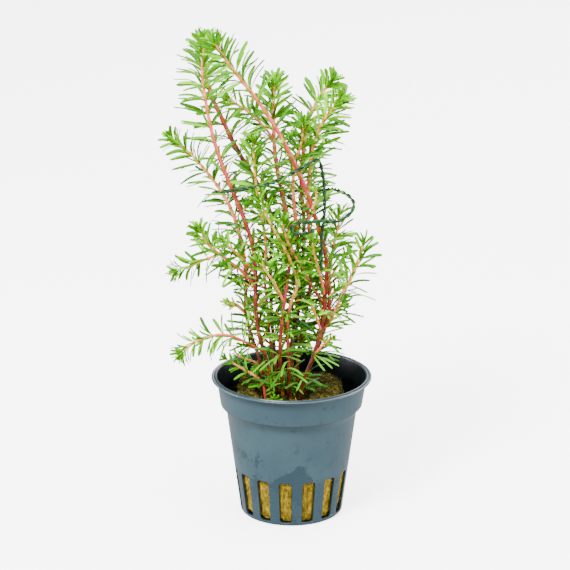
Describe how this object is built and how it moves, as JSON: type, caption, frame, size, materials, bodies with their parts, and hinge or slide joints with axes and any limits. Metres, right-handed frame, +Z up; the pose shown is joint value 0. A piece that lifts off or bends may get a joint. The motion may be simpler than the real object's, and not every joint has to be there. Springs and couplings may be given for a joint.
{
  "type": "rotala in a net pot",
  "caption": "Bunch of rotala, a stem plant with whorls of narrow leaves on pink stems, rooted in rock wool in a small slotted net pot",
  "frame": {"origin": "centre of the underside of the net pot", "axes": "+X to the right, -Y to the front, +Z up out of the pot"},
  "size_m": [0.0742, 0.0538, 0.1695],
  "materials": {
    "pot": "satin, wet in places",
    "rock_wool": "fibrous, wet",
    "tie": "smooth coating",
    "leaf": "living leaf, satin",
    "stem": "living stem, satin"
  },
  "bodies": {
    "root": {"net_pot": "pot", "shoot_by_tie": "leaf", "shoot_drooping": "leaf", "shoot_far_left": "leaf", "shoot_far_right": "leaf", "shoot_front": "leaf", "shoot_left_front": "leaf", "shoot_left_small": "leaf", "shoot_left_upper": "leaf", "shoot_low_inner": "leaf", "shoot_low_right": "leaf", "shoot_right_cross": "leaf", "shoot_right_fork": "leaf", "shoot_right_inner": "leaf", "shoot_right_small": "leaf", "shoot_top_left": "leaf", "stem_back": "leaf", "stem_far_left": "leaf", "stem_inner": "leaf", "stem_leaning": "leaf", "stem_left": "leaf", "stem_middle": "leaf", "stem_right": "leaf", "stem_short_back": "leaf", "stem_short_front": "leaf", "stem_slender": "leaf", "stem_tall_left": "leaf", "stem_trunk_right": "leaf", "stem_yellow": "leaf", "wire_tie": "tie", "wool_plug": "rock_wool"}
  },
  "joints": []
}
